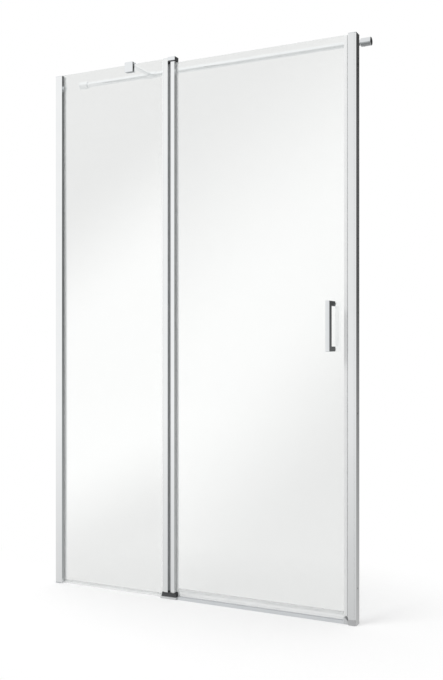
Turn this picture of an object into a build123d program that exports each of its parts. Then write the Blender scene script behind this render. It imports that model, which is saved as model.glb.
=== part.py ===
from build123d import *
import os

# Shower door for a recess: a narrow fixed pane, a hinge post and a pivot door.
# Millimetres. +Z is up and the tray is at Z = 0. X = 0 is the left wall and +X runs along the panel.
# Y = 0 is the middle of the glass, -Y is the room and +Y is the shower.

# Driving sizes
opening_width = 1200
glass_thickness = 6
profile_depth = 36
wall = 1.6
slot_wall = 1.4
gasket = 2

# Heights above the tray
fixed_glass_bottom = 7
fixed_glass_top = 1950
fixed_profile_bottom = 6
fixed_profile_top = 1942.5
post_top = 1944
foot_top = 24
stile_bottom = 27.6
stile_top = 1929
door_glass_bottom = 26.5
door_glass_top = 1931
closing_bottom = 19
closing_top = 1931
bracket_bottom = 1936
bracket_top = 1949
threshold_height = 11
cap_thickness = 2

# Places along the opening
left_profile_right = 30
post_left = 478
post_right = 496
stile_left = 507
stile_right = 523.5
foot_left = 466
foot_right = 530
threshold_right = 1155.5
door_glass_right = 1160
closing_left = 1172.5
closing_right = 1193

# Worked out from the sizes above
half_depth = profile_depth / 2
half_glass = glass_thickness / 2
slot_half = half_glass + gasket
slot_outer = slot_half + slot_wall
inner_half = half_depth - wall
channel_half = inner_half - 0.2
channel_depth = 22

# The pivot axis stands in the stile's front chamber, so the rear of the stile swings clear of the post.
pivot_x = (stile_left + stile_right) / 2
pivot_y = -(inner_half + slot_outer) / 2
pivot_radius = 3
pivot_clearance = 0.05
bush_radius = 4

# Wall fixings: four holes on a vertical line in each wall channel
wall_hole_radius = 2.6
wall_hole_heights = (120, 690, 1260, 1830)
side_screw_heights = (250, 975, 1700)
side_screw_radius = 1.75

# Stabiliser bar, its arm and the clamp on the fixed glass
bar_y = 150
bar_z = 1951
bar_radius = 10
bar_wall = 1.5
holder_radius = 14.5
holder_length = 36
holder_base = 4
tee_length = 54
tee_radius = 13
arm_radius = 7
clamp_x = 325.5
clamp_width = 35
clamp_bottom = 1921
clamp_top = 1958
jaw_thickness = 7
pad = 1

# Handle
handle_x = 1117.8
handle_width = 13.5
handle_bottom = 892
handle_top = 1058
handle_projection = 60
grip_depth = 24
handle_post = 17
washer = 1
handle_hole_radius = 6
handle_screw_radius = 3

UP = (0, 0, 1)
TO_ROOM = (0, -1, 0)
TO_SHOWER = (0, 1, 0)
FROM_BASE = (Align.CENTER, Align.CENTER, Align.MIN)


def rectangle(x0, x1, y0, y1, mode=Mode.ADD):
    """A rectangle between two corners, in the sketch that is open."""
    with Locations(((x0 + x1) / 2, (y0 + y1) / 2)):
        Rectangle(x1 - x0, y1 - y0, mode=mode)


def block(x0, x1, y0, y1, z0, z1, mode=Mode.ADD):
    """A box between two corners, in the part that is open."""
    with Locations(((x0 + x1) / 2, (y0 + y1) / 2, (z0 + z1) / 2)):
        Box(x1 - x0, y1 - y0, z1 - z0, mode=mode)


def rod(start, direction, radius, length, mode=Mode.ADD):
    """A round rod from a point, in the part that is open."""
    with Locations(Plane(origin=start, z_dir=direction).location):
        Cylinder(radius, length, align=FROM_BASE, mode=mode)


def keep(piece, label):
    """Labels a finished piece and writes its file."""
    piece.part.label = label
    export_step(piece.part, f"parts/{label}.step")


os.makedirs("parts", exist_ok=True)


# Wall channels: a U on each wall, with the holes for the wall screws

def wall_channel(wall_x, inwards, bottom, top):
    """A U with its web on the wall and its flanges pointing inwards along X."""
    web_far = wall_x + inwards * wall
    tip = wall_x + inwards * channel_depth
    with BuildPart() as channel:
        with BuildSketch(Plane.XY.offset(bottom)):
            rectangle(min(wall_x, tip), max(wall_x, tip), -channel_half, channel_half)
            rectangle(min(web_far, tip), max(web_far, tip), -channel_half + wall, channel_half - wall, Mode.SUBTRACT)
        extrude(amount=top - bottom)
        for height in wall_hole_heights:
            rod((wall_x, 0, height), (inwards, 0, 0), wall_hole_radius, wall, Mode.SUBTRACT)
        for height in side_screw_heights:
            start = (wall_x + inwards * 12, half_depth, height)
            rod(start, TO_ROOM, side_screw_radius, 5, Mode.SUBTRACT)
    return channel


left_wall_channel = wall_channel(0, 1, 0, fixed_profile_top)
keep(left_wall_channel, "left_wall_channel")

right_wall_channel = wall_channel(opening_width, -1, 0, closing_top - cap_thickness)
keep(right_wall_channel, "right_wall_channel")


# Left glazing profile: sleeves over the wall channel and holds the fixed glass

profile_gap = 1
left_slot_floor = 13

with BuildPart() as left_glazing_profile:
    with BuildSketch(Plane.XY.offset(fixed_profile_bottom)) as section:
        rectangle(profile_gap, left_profile_right, -half_depth, half_depth)
        fillet(section.vertices().group_by(Axis.X)[-1], 1.2)
        rectangle(profile_gap, left_profile_right - wall, -inner_half, inner_half, Mode.SUBTRACT)
        rectangle(left_slot_floor, left_profile_right, -slot_outer, slot_outer)
        rectangle(left_slot_floor + slot_wall, left_profile_right, -slot_half, slot_half, Mode.SUBTRACT)
    extrude(amount=fixed_profile_top - fixed_profile_bottom)
    for height in side_screw_heights:
        rod((12, half_depth, height), TO_ROOM, side_screw_radius, 3, Mode.SUBTRACT)
keep(left_glazing_profile, "left_glazing_profile")


# Caps on the left profile: the upper one has a slot for the glass, the lower one lets the channel through

with BuildPart() as left_top_cap:
    with BuildSketch(Plane.XY.offset(fixed_profile_top)) as outline:
        rectangle(0, left_profile_right, -half_depth, half_depth)
        fillet(outline.vertices().group_by(Axis.X)[-1], 1.2)
        rectangle(left_slot_floor + slot_wall, left_profile_right, -half_glass, half_glass, Mode.SUBTRACT)
    extrude(amount=cap_thickness)
keep(left_top_cap, "left_top_cap")

with BuildPart() as left_bottom_cap:
    with BuildSketch(Plane.XY.offset(fixed_profile_bottom - cap_thickness)) as outline:
        rectangle(wall, left_profile_right, -half_depth, half_depth)
        fillet(outline.vertices().group_by(Axis.X)[-1], 1.2)
        rectangle(wall, channel_depth, -channel_half, -channel_half + wall, Mode.SUBTRACT)
        rectangle(wall, channel_depth, channel_half - wall, channel_half, Mode.SUBTRACT)
    extrude(amount=cap_thickness)
keep(left_bottom_cap, "left_bottom_cap")


# Side screws that lock each sleeve profile to its wall channel, from the shower side

screw_head_radius = 3.6
screw_head_height = 2.2


def side_screws(x):
    with BuildPart() as screws:
        for height in side_screw_heights:
            rod((x, half_depth, height), TO_SHOWER, screw_head_radius, screw_head_height)
            rod((x, half_depth, height), TO_ROOM, side_screw_radius, 8)
        fillet(screws.edges().filter_by(GeomType.CIRCLE).group_by(Axis.Y)[-1], 0.9)
    return screws


left_fixing_screws = side_screws(12)
keep(left_fixing_screws, "left_fixing_screws")

right_fixing_screws = side_screws(opening_width - 12)
keep(right_fixing_screws, "right_fixing_screws")


# Glazing gaskets: a wedge in the slot with a lip that lies on the glass, one on each face

def glazing_gaskets(mouth, inwards, bottom, top, lip_reach):
    """inwards points from the slot's mouth into the profile."""
    root = mouth + inwards * 9
    lip = mouth - inwards * lip_reach
    with BuildPart() as gaskets:
        with BuildSketch(Plane.XY.offset(bottom)):
            for side in (-1, 1):
                near = side * half_glass
                deep = side * slot_half
                thin = side * (half_glass + 1.5)
                rectangle(min(mouth, root), max(mouth, root), min(near, deep), max(near, deep))
                with BuildLine():
                    Polyline((mouth, near), (mouth, deep), (lip + inwards * 2, thin), (lip, near), close=True)
                make_face()
        extrude(amount=top - bottom)
    return gaskets


left_glazing_gaskets = glazing_gaskets(left_profile_right, -1, fixed_profile_bottom, fixed_profile_top, 3.5)
keep(left_glazing_gaskets, "left_glazing_gaskets")

jaw_left = post_left - 8
post_glazing_gaskets = glazing_gaskets(jaw_left, 1, foot_top, post_top, 5.5)
keep(post_glazing_gaskets, "post_glazing_gaskets")

stile_glazing_gaskets = glazing_gaskets(stile_right, -1, stile_bottom, stile_top, 5.5)
keep(stile_glazing_gaskets, "stile_glazing_gaskets")


# Fixed pane and the clear seal under it

glass_arris = 0.6
post_slot_floor = 485

with BuildPart() as fixed_glass:
    block(left_slot_floor + slot_wall + 0.6, post_slot_floor - 1, -half_glass, half_glass, fixed_glass_bottom,
          fixed_glass_top)
    chamfer(fixed_glass.edges(), glass_arris)
keep(fixed_glass, "fixed_glass")

with BuildPart() as fixed_panel_seal:
    block(left_profile_right, foot_left, -half_glass, half_glass, 0, fixed_glass_bottom)
    for side in (-1, 1):
        inner = side * half_glass
        outer = side * (half_glass + 1)
        block(left_profile_right + 3.5, foot_left, min(inner, outer), max(inner, outer), 0, fixed_glass_bottom + 7)
keep(fixed_panel_seal, "fixed_panel_seal")


# Hinge post: a box with two jaws for the fixed glass and a groove for the gap seal

jaw_half = 8
groove_low = 4.8
groove_high = 7.2

with BuildPart() as hinge_post:
    with BuildSketch(Plane.XY.offset(foot_top)) as section:
        rectangle(post_left, post_right, -half_depth, half_depth)
        fillet(section.vertices(), 1.2)
        rectangle(post_left + wall, post_right - wall, -inner_half, inner_half, Mode.SUBTRACT)
        rectangle(jaw_left, post_left, -jaw_half, jaw_half)
        rectangle(post_left, post_slot_floor + slot_wall, -slot_outer, slot_outer)
        rectangle(jaw_left, post_slot_floor, -slot_half, slot_half, Mode.SUBTRACT)
        rectangle(post_right - wall, post_right, groove_low, groove_high, Mode.SUBTRACT)
    extrude(amount=post_top - foot_top)
    for height in (foot_top + 20, post_top - 20):
        rod((489.6, half_depth, height), TO_ROOM, side_screw_radius, 3, Mode.SUBTRACT)
keep(hinge_post, "hinge_post")


# Gap seal: a hollow bulb on the post that the stile closes against

bulb_reach = 10.6
bulb_low = 0.5
bulb_high = 13.5

with BuildPart() as post_gap_seal:
    with BuildSketch(Plane.XY.offset(foot_top + 1)) as section:
        rectangle(post_right, post_right + bulb_reach, bulb_low, bulb_high)
        fillet(section.vertices().group_by(Axis.X)[-1], 4)
        rectangle(post_right + 1.5, post_right + bulb_reach - 1.5, bulb_low + 1.5, bulb_high - 1.5, Mode.SUBTRACT)
        rectangle(post_right - 3, post_right, groove_low, groove_high)
    extrude(amount=stile_top - foot_top - 1)
keep(post_gap_seal, "post_gap_seal")


# Top pivot bracket: a tongue in the post, a plate on its end and an arm over the stile

tongue_left = post_slot_floor + slot_wall + 0.4
tongue_right = post_right - 3.5
tongue_half = 15.5
tongue_length = 40
bracket_right = 524.5
bracket_rear = 11
pin_reach = 10

with BuildPart() as top_pivot_bracket:
    with BuildSketch(Plane.XY.offset(bracket_bottom)) as arm:
        rectangle(post_right, bracket_right, -half_depth, bracket_rear)
        fillet(arm.vertices().group_by(Axis.X)[-1], 1.5)
    extrude(amount=bracket_top - bracket_bottom)
    block(post_left, post_right, -half_depth, half_depth, post_top, post_top + 2.5)
    block(post_left, post_slot_floor, -half_glass, half_glass, post_top, post_top + 2.5, Mode.SUBTRACT)
    block(tongue_left, tongue_right, -tongue_half, tongue_half, post_top - tongue_length, post_top)
    rod((pivot_x, pivot_y, bracket_bottom), UP, pivot_radius, pin_reach, Mode.SUBTRACT)
    rod((489.6, tongue_half, post_top - 20), TO_ROOM, side_screw_radius, 8, Mode.SUBTRACT)
keep(top_pivot_bracket, "top_pivot_bracket")

with BuildPart() as upper_bearing_plate:
    block(post_right + 0.5, bracket_right - 0.5, -half_depth + 0.5, bracket_rear - 0.5, bracket_bottom - 4,
          bracket_bottom)
    rod((pivot_x, pivot_y, bracket_bottom - 4), UP, pivot_radius, 4, Mode.SUBTRACT)
keep(upper_bearing_plate, "upper_bearing_plate")


# Pivot pins, fixed in the bracket and in the foot

pin_grip = 24

with BuildPart() as upper_pivot_pin:
    rod((pivot_x, pivot_y, stile_top - pin_grip), UP, pivot_radius, bracket_bottom + pin_reach - stile_top + pin_grip)
    chamfer(upper_pivot_pin.edges().sort_by(Axis.Z)[0], 0.8)
keep(upper_pivot_pin, "upper_pivot_pin")

lower_pin_bottom = 9

with BuildPart() as lower_pivot_pin:
    rod((pivot_x, pivot_y, lower_pin_bottom), UP, pivot_radius, stile_bottom + pin_grip - lower_pin_bottom)
    chamfer(lower_pivot_pin.edges().sort_by(Axis.Z)[-1], 0.8)
keep(lower_pivot_pin, "lower_pivot_pin")


# Pivot foot: a base plate on the tray and a housing that carries the post and the lower pin

foot_plate_height = 9
foot_screw_places = ((480, 9), (520, 9))
foot_screw_radius = 2

with BuildPart() as pivot_foot_base:
    block(foot_left, foot_right, -half_depth, half_depth, 0, foot_plate_height)
    chamfer(pivot_foot_base.edges().group_by(Axis.Z)[-1], 2.5)
    block(foot_left, post_slot_floor, -half_glass, half_glass, fixed_glass_bottom, foot_plate_height, Mode.SUBTRACT)
    for place in foot_screw_places:
        rod((*place, 0), UP, foot_screw_radius, foot_plate_height, Mode.SUBTRACT)
        rod((*place, 0), UP, 2 * foot_screw_radius, 2.6, Mode.SUBTRACT)
keep(pivot_foot_base, "pivot_foot_base")

with BuildPart() as pivot_foot_housing:
    with BuildSketch(Plane.XY.offset(foot_plate_height)) as outline:
        rectangle(foot_left + 3, foot_right - 1.5, -half_depth + 0.5, half_depth - 0.5)
        fillet(outline.vertices(), 2)
    extrude(amount=foot_top - foot_plate_height, taper=12)
    block(foot_left, post_slot_floor, -half_glass, half_glass, foot_plate_height, foot_top, Mode.SUBTRACT)
    block(tongue_left, tongue_right, -tongue_half, tongue_half, foot_top, foot_top + tongue_length)
    rod((pivot_x, pivot_y, foot_plate_height), UP, pivot_radius, foot_top - foot_plate_height, Mode.SUBTRACT)
    rod((489.6, tongue_half, foot_top + 20), TO_ROOM, side_screw_radius, 8, Mode.SUBTRACT)
    for place in foot_screw_places:
        rod((*place, foot_plate_height), UP, foot_screw_radius, 8, Mode.SUBTRACT)
keep(pivot_foot_housing, "pivot_foot_housing")

with BuildPart() as foot_screws:
    for place in foot_screw_places:
        rod((*place, 0.3), UP, 2 * foot_screw_radius - 0.2, 2.3)
        rod((*place, 0.3), UP, foot_screw_radius, foot_plate_height + 7)
keep(foot_screws, "foot_screws")

with BuildPart() as pivot_thrust_washer:
    rod((pivot_x, pivot_y, foot_top), UP, 5.5, 1.5)
    rod((pivot_x, pivot_y, foot_top), UP, pivot_radius, 1.5, Mode.SUBTRACT)
keep(pivot_thrust_washer, "pivot_thrust_washer")

with BuildPart() as post_fixing_screws:
    for height in (foot_top + 20, post_top - 20):
        rod((489.6, half_depth, height), TO_SHOWER, screw_head_radius, screw_head_height)
        rod((489.6, half_depth, height), TO_ROOM, side_screw_radius, 9)
    fillet(post_fixing_screws.edges().filter_by(GeomType.CIRCLE).group_by(Axis.Y)[-1], 0.9)
keep(post_fixing_screws, "post_fixing_screws")


# Door stile: holds the door glass, with the pivot plugs in its front chamber

stile_slot_floor = 510

with BuildPart() as door_stile:
    with BuildSketch(Plane.XY.offset(stile_bottom)) as section:
        rectangle(stile_left, stile_right, -half_depth, half_depth)
        fillet(section.vertices(), 1.5)
        rectangle(stile_left + wall, stile_right - wall, -inner_half, inner_half, Mode.SUBTRACT)
        rectangle(stile_slot_floor, stile_right, -slot_outer, slot_outer)
        rectangle(stile_slot_floor + slot_wall, stile_right, -slot_half, slot_half, Mode.SUBTRACT)
    extrude(amount=stile_top - stile_bottom)
keep(door_stile, "door_stile")

plug_play = 0.2
plug_depth = 28


def stile_plug(end, outwards):
    """A plug with an end plate. outwards is +1 at the top of the stile and -1 at the bottom."""
    insert_low = min(end, end - outwards * plug_depth)
    plate_low = min(end, end + outwards * cap_thickness)
    with BuildPart() as plug:
        with BuildSketch(Plane.XY.offset(plate_low)) as plate:
            rectangle(stile_left, stile_right, -half_depth, half_depth)
            fillet(plate.vertices(), 1.5)
            rectangle(stile_slot_floor + slot_wall, stile_right, -half_glass - 0.1, half_glass + 0.1, Mode.SUBTRACT)
        extrude(amount=cap_thickness)
        block(stile_left + wall + plug_play, stile_right - wall - plug_play, -inner_half + plug_play,
              -slot_outer - plug_play, insert_low, insert_low + plug_depth)
        rod((pivot_x, pivot_y, end - plug_depth), UP, bush_radius, 2 * plug_depth, Mode.SUBTRACT)
    return plug


stile_top_plug = stile_plug(stile_top, 1)
keep(stile_top_plug, "stile_top_plug")

stile_bottom_plug = stile_plug(stile_bottom, -1)
keep(stile_bottom_plug, "stile_bottom_plug")


def pivot_bush(bottom):
    with BuildPart() as bush:
        rod((pivot_x, pivot_y, bottom), UP, bush_radius, plug_depth)
        rod((pivot_x, pivot_y, bottom), UP, pivot_radius + pivot_clearance, plug_depth, Mode.SUBTRACT)
    return bush


upper_pivot_bush = pivot_bush(stile_top + cap_thickness - plug_depth)
keep(upper_pivot_bush, "upper_pivot_bush")

lower_pivot_bush = pivot_bush(stile_bottom - cap_thickness)
keep(lower_pivot_bush, "lower_pivot_bush")


# Door glass, with two holes for the handle

handle_hole_heights = (handle_bottom + handle_post / 2, handle_top - handle_post / 2)

with BuildPart() as door_glass:
    block(stile_slot_floor + slot_wall + 0.6, door_glass_right, -half_glass, half_glass, door_glass_bottom,
          door_glass_top)
    chamfer(door_glass.edges(), glass_arris)
    for height in handle_hole_heights:
        rod((handle_x, -half_glass, height), TO_SHOWER, handle_hole_radius, glass_thickness, Mode.SUBTRACT)
keep(door_glass, "door_glass")


# Bottom seal: clips under the glass, with a fin that sweeps the threshold

bottom_seal_left = foot_right + 1
bottom_seal_right = threshold_right - 1.2
seal_half = half_glass + 1.1
seal_body_low = 20
fin_low = 11.8
clip_top = 38

with BuildPart() as door_bottom_seal:
    with BuildSketch(Plane.YZ.offset(bottom_seal_left)):
        rectangle(-seal_half, seal_half, seal_body_low, clip_top)
        rectangle(-half_glass, half_glass, door_glass_bottom, clip_top, Mode.SUBTRACT)
        rectangle(-seal_half, -seal_half + 1.4, fin_low, seal_body_low)
        with BuildLine():
            Polyline((1.5, seal_body_low), (seal_half, seal_body_low), (9, 13), (8, fin_low), close=True)
        make_face()
    extrude(amount=bottom_seal_right - bottom_seal_left)
keep(door_bottom_seal, "door_bottom_seal")


# Magnetic edge seal on the free edge of the door

edge_seal_bottom = 25
edge_seal_left = 1154.5
edge_seal_right = 1166
edge_seal_half = 5.5

with BuildPart() as door_magnetic_seal:
    with BuildSketch(Plane.XY.offset(edge_seal_bottom)) as section:
        rectangle(door_glass_right, edge_seal_right, -edge_seal_half, edge_seal_half)
        fillet(section.vertices().group_by(Axis.X)[-1], 0.8)
        rectangle(edge_seal_left, door_glass_right, -half_glass - 1.4, half_glass + 1.4)
        rectangle(edge_seal_left, door_glass_right, -half_glass, half_glass, Mode.SUBTRACT)
        rectangle(1161, 1165, -3.5, 3.5, Mode.SUBTRACT)
    extrude(amount=stile_top - edge_seal_bottom)
keep(door_magnetic_seal, "door_magnetic_seal")

with BuildPart() as door_magnet:
    block(1161, 1165, -3.5, 3.5, edge_seal_bottom, stile_top)
keep(door_magnet, "door_magnet")


# Closing profile on the right wall: carries the other magnet and a stop lip behind the door's edge

magnet_slot_half = 4.1
magnet_slot_outer = 5.5
magnet_slot_end = 1180.6

with BuildPart() as closing_profile:
    with BuildSketch(Plane.XY.offset(closing_bottom)) as section:
        rectangle(closing_left, closing_right, -half_depth, half_depth)
        fillet(section.vertices().group_by(Axis.X)[0], 1.2)
        rectangle(closing_left + wall, closing_right, -inner_half, inner_half, Mode.SUBTRACT)
        rectangle(closing_left, magnet_slot_end + slot_wall, -magnet_slot_outer, magnet_slot_outer)
        rectangle(closing_left, magnet_slot_end, -magnet_slot_half, magnet_slot_half, Mode.SUBTRACT)
        rectangle(closing_left - 9, closing_left, 8, 9.6)
    extrude(amount=closing_top - closing_bottom - cap_thickness)
    for height in side_screw_heights:
        rod((opening_width - 12, half_depth, height), TO_ROOM, side_screw_radius, 3, Mode.SUBTRACT)
keep(closing_profile, "closing_profile")

magnet_face = edge_seal_right + 0.9

with BuildPart() as closing_magnet_strip:
    with BuildSketch(Plane.XY.offset(closing_bottom)) as section:
        rectangle(magnet_face, closing_left, -edge_seal_half, edge_seal_half)
        fillet(section.vertices().group_by(Axis.X)[0], 0.8)
        rectangle(closing_left, magnet_slot_end, -magnet_slot_half, magnet_slot_half)
        rectangle(magnet_face + 1, magnet_face + 5, -3.5, 3.5, Mode.SUBTRACT)
    extrude(amount=closing_top - closing_bottom - cap_thickness)
keep(closing_magnet_strip, "closing_magnet_strip")

with BuildPart() as closing_magnet:
    block(magnet_face + 1, magnet_face + 5, -3.5, 3.5, closing_bottom, closing_top - cap_thickness)
keep(closing_magnet, "closing_magnet")

with BuildPart() as closing_top_cap:
    with BuildSketch(Plane.XY.offset(closing_top - cap_thickness)) as outline:
        rectangle(closing_left, opening_width, -half_depth, half_depth)
        fillet(outline.vertices().group_by(Axis.X)[0], 1.2)
    extrude(amount=cap_thickness)
keep(closing_top_cap, "closing_top_cap")

with BuildPart() as closing_foot_cap:
    block(closing_left, opening_width - wall, -half_depth, half_depth, 0, closing_bottom)
    fillet(closing_foot_cap.edges().filter_by(Axis.Y).group_by(Axis.Z)[0], 4)
    for side in (-1, 1):
        inner = side * (channel_half - wall)
        outer = side * channel_half
        block(opening_width - channel_depth, opening_width - wall, min(inner, outer), max(inner, outer), 0,
              closing_bottom, Mode.SUBTRACT)
keep(closing_foot_cap, "closing_foot_cap")


# Threshold: a low strip with sloped sides, and the block that ends it at the closing profile

with BuildPart() as threshold_strip:
    with BuildSketch(Plane.YZ.offset(foot_right)) as section:
        with BuildLine():
            Polyline((-12, 0), (-10, 8), (-7, threshold_height), (6, threshold_height), (12, 2), (12, 0), close=True)
        make_face()
        rectangle(-8, 5, 0, 1.2, Mode.SUBTRACT)
    extrude(amount=threshold_right - foot_right)
keep(threshold_strip, "threshold_strip")

with BuildPart() as threshold_end_block:
    with BuildSketch(Plane.XZ.offset(-10)):
        with BuildLine():
            Polyline((threshold_right, 0), (threshold_right, 22), (threshold_right + 3, 22), (closing_left, 9),
                     (closing_left, 0), close=True)
        make_face()
    extrude(amount=22)
keep(threshold_end_block, "threshold_end_block")


# Glass clamp: two jaws over the top edge of the fixed pane

clamp_left = clamp_x - clamp_width / 2
clamp_right = clamp_x + clamp_width / 2
clamp_near = half_glass + pad
clamp_screw_spread = 11
clamp_screw_z = 1954.2
clamp_screw_radius = 1.75
spigot_radius = 4
spigot_length = 6

with BuildPart() as clamp_front_jaw:
    block(clamp_left, clamp_right, -clamp_near - jaw_thickness, -clamp_near, clamp_bottom, clamp_top)
    fillet(clamp_front_jaw.edges().filter_by(Axis.Y), 2.5)
    fillet(clamp_front_jaw.faces().sort_by(Axis.Y)[0].edges(), 0.8)
    block(clamp_left + 2.5, clamp_right - 2.5, -clamp_near, clamp_near, fixed_glass_top + 0.6, clamp_top)
    for side in (-1, 1):
        start = (clamp_x + side * clamp_screw_spread, clamp_near, clamp_screw_z)
        rod(start, TO_ROOM, clamp_screw_radius, 12, Mode.SUBTRACT)
keep(clamp_front_jaw, "clamp_front_jaw")

with BuildPart() as clamp_rear_jaw:
    block(clamp_left, clamp_right, clamp_near, clamp_near + jaw_thickness, clamp_bottom, clamp_top)
    fillet(clamp_rear_jaw.edges().filter_by(Axis.Y), 2.5)
    fillet(clamp_rear_jaw.faces().sort_by(Axis.Y)[-1].edges(), 0.8)
    for side in (-1, 1):
        start = (clamp_x + side * clamp_screw_spread, clamp_near + jaw_thickness, clamp_screw_z)
        rod(start, TO_ROOM, clamp_screw_radius, jaw_thickness, Mode.SUBTRACT)
        rod(start, TO_ROOM, 3.1, 2.4, Mode.SUBTRACT)
    rod((clamp_x, clamp_near + jaw_thickness, bar_z), TO_ROOM, spigot_radius, spigot_length, Mode.SUBTRACT)
keep(clamp_rear_jaw, "clamp_rear_jaw")

with BuildPart() as clamp_pads:
    for side in (-1, 1):
        inner = side * half_glass
        outer = side * clamp_near
        block(clamp_left + 1, clamp_right - 1, min(inner, outer), max(inner, outer), clamp_bottom + 1,
              fixed_glass_top - 1)
keep(clamp_pads, "clamp_pads")

with BuildPart() as clamp_screws:
    for side in (-1, 1):
        x = clamp_x + side * clamp_screw_spread
        rear = clamp_near + jaw_thickness
        rod((x, rear - 0.2, clamp_screw_z), TO_ROOM, 3, 2.2)
        rod((x, rear - 0.2, clamp_screw_z), TO_ROOM, clamp_screw_radius, 16)
        rod((x, rear - 0.2, clamp_screw_z), TO_ROOM, 1.2, 1.2, Mode.SUBTRACT)
keep(clamp_screws, "clamp_screws")


# Stabiliser: arm, tee, bar and two wall holders

arm_start = clamp_near + jaw_thickness
arm_end = bar_y - bar_radius - 1

with BuildPart() as brace_arm:
    rod((clamp_x, arm_start, bar_z), TO_SHOWER, arm_radius, arm_end - arm_start)
    rod((clamp_x, arm_start, bar_z), TO_ROOM, spigot_radius, spigot_length)
keep(brace_arm, "brace_arm")

tee_branch_start = bar_y - tee_radius - 11
tee_branch_radius = 10

with BuildPart() as brace_tee:
    rod((clamp_x - tee_length / 2, bar_y, bar_z), (1, 0, 0), tee_radius, tee_length)
    chamfer(brace_tee.edges().filter_by(GeomType.CIRCLE), 1)
    rod((clamp_x, tee_branch_start, bar_z), TO_SHOWER, tee_branch_radius, bar_y - tee_branch_start)
    rod((clamp_x - tee_length / 2, bar_y, bar_z), (1, 0, 0), bar_radius + 0.1, tee_length, Mode.SUBTRACT)
    rod((clamp_x, tee_branch_start, bar_z), TO_SHOWER, arm_radius, arm_end - tee_branch_start, Mode.SUBTRACT)
    rod((clamp_x, bar_y, bar_z - bar_radius), (0, 0, -1), 2.5, 6, Mode.SUBTRACT)
keep(brace_tee, "brace_tee")

bar_end = holder_base + 1

with BuildPart() as brace_bar:
    rod((bar_end, bar_y, bar_z), (1, 0, 0), bar_radius, opening_width - 2 * bar_end)
    rod((bar_end, bar_y, bar_z), (1, 0, 0), bar_radius - bar_wall, opening_width - 2 * bar_end, Mode.SUBTRACT)
keep(brace_bar, "brace_bar")


def bar_holder(wall_x, inwards):
    """A socket for the bar's end, with a screw hole in its base."""
    base = (wall_x, bar_y, bar_z)
    socket = (wall_x + inwards * holder_base, bar_y, bar_z)
    along = (inwards, 0, 0)
    with BuildPart() as holder:
        rod(base, along, holder_radius, holder_length)
        chamfer(holder.edges().filter_by(GeomType.CIRCLE), 1)
        rod(socket, along, bar_radius + 0.1, holder_length, Mode.SUBTRACT)
        rod(base, along, wall_hole_radius, holder_base, Mode.SUBTRACT)
        rod((wall_x + inwards * 24, bar_y, bar_z - bar_radius), (0, 0, -1), 2.5, 6, Mode.SUBTRACT)
    return holder


left_bar_holder = bar_holder(0, 1)
keep(left_bar_holder, "left_bar_holder")

right_bar_holder = bar_holder(opening_width, -1)
keep(right_bar_holder, "right_bar_holder")

with BuildPart() as bar_grub_screws:
    for x in (24, clamp_x, opening_width - 24):
        rod((x, bar_y, bar_z - bar_radius - 0.1), (0, 0, -1), 2.5, 2.6)
        rod((x, bar_y, bar_z - bar_radius - 2.7), UP, 1.25, 1.6, Mode.SUBTRACT)
keep(bar_grub_screws, "bar_grub_screws")


# Handle: a square U with its screws, glass bushes and back caps

post_end = -half_glass - washer
grip_front = -half_glass - handle_projection
grip_back = grip_front + grip_depth
handle_left = handle_x - handle_width / 2
handle_right = handle_x + handle_width / 2

with BuildPart() as handle:
    block(handle_left, handle_right, grip_front, post_end, handle_bottom, handle_top)
    block(handle_left, handle_right, grip_back, post_end, handle_bottom + handle_post, handle_top - handle_post,
          Mode.SUBTRACT)
    fillet(handle.edges().filter_by(Axis.X), 1)
    chamfer(handle.faces().sort_by(Axis.Y)[0].edges().filter_by(Axis.Z), 0.8)
    for height in handle_hole_heights:
        rod((handle_x, post_end, height), TO_ROOM, handle_screw_radius, 14, Mode.SUBTRACT)
keep(handle, "handle")

with BuildPart() as handle_glass_bushes:
    for height in handle_hole_heights:
        for direction in (TO_ROOM, TO_SHOWER):
            face = direction[1] * half_glass
            rod((handle_x, face, height), direction, 6.5, washer)
            rod((handle_x, 0, height), direction, handle_hole_radius - 0.1, half_glass)
            rod((handle_x, 0, height), direction, handle_screw_radius + 0.1, half_glass + washer, Mode.SUBTRACT)
keep(handle_glass_bushes, "handle_glass_bushes")

with BuildPart() as handle_screws:
    for height in handle_hole_heights:
        rod((handle_x, half_glass + washer, height), TO_ROOM, handle_screw_radius, glass_thickness + 2 * washer + 12)
        rod((handle_x, half_glass + washer, height), TO_SHOWER, 5, 2.4)
keep(handle_screws, "handle_screws")

with BuildPart() as handle_back_caps:
    for height in handle_hole_heights:
        rod((handle_x, half_glass + washer, height), TO_SHOWER, 6.7, 4)
        rod((handle_x, half_glass + washer, height), TO_SHOWER, 5.1, 2.5, Mode.SUBTRACT)
    fillet(handle_back_caps.edges().filter_by(GeomType.CIRCLE).group_by(Axis.Y)[-1], 1)
keep(handle_back_caps, "handle_back_caps")
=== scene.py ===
import math

import bmesh
import bpy
from mathutils import Matrix, Vector


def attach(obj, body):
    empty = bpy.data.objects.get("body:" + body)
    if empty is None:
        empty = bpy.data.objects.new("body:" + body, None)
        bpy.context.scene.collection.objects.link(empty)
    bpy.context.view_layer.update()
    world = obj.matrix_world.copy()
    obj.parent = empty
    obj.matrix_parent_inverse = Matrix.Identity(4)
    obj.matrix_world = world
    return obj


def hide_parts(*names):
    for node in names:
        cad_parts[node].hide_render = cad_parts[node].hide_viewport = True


# Shower door for a recess: a narrow fixed pane, a hinge post and a pivot door.
# Metres. X runs along the opening from the left wall, -Y is the room, +Y is the shower and Z is up.

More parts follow.
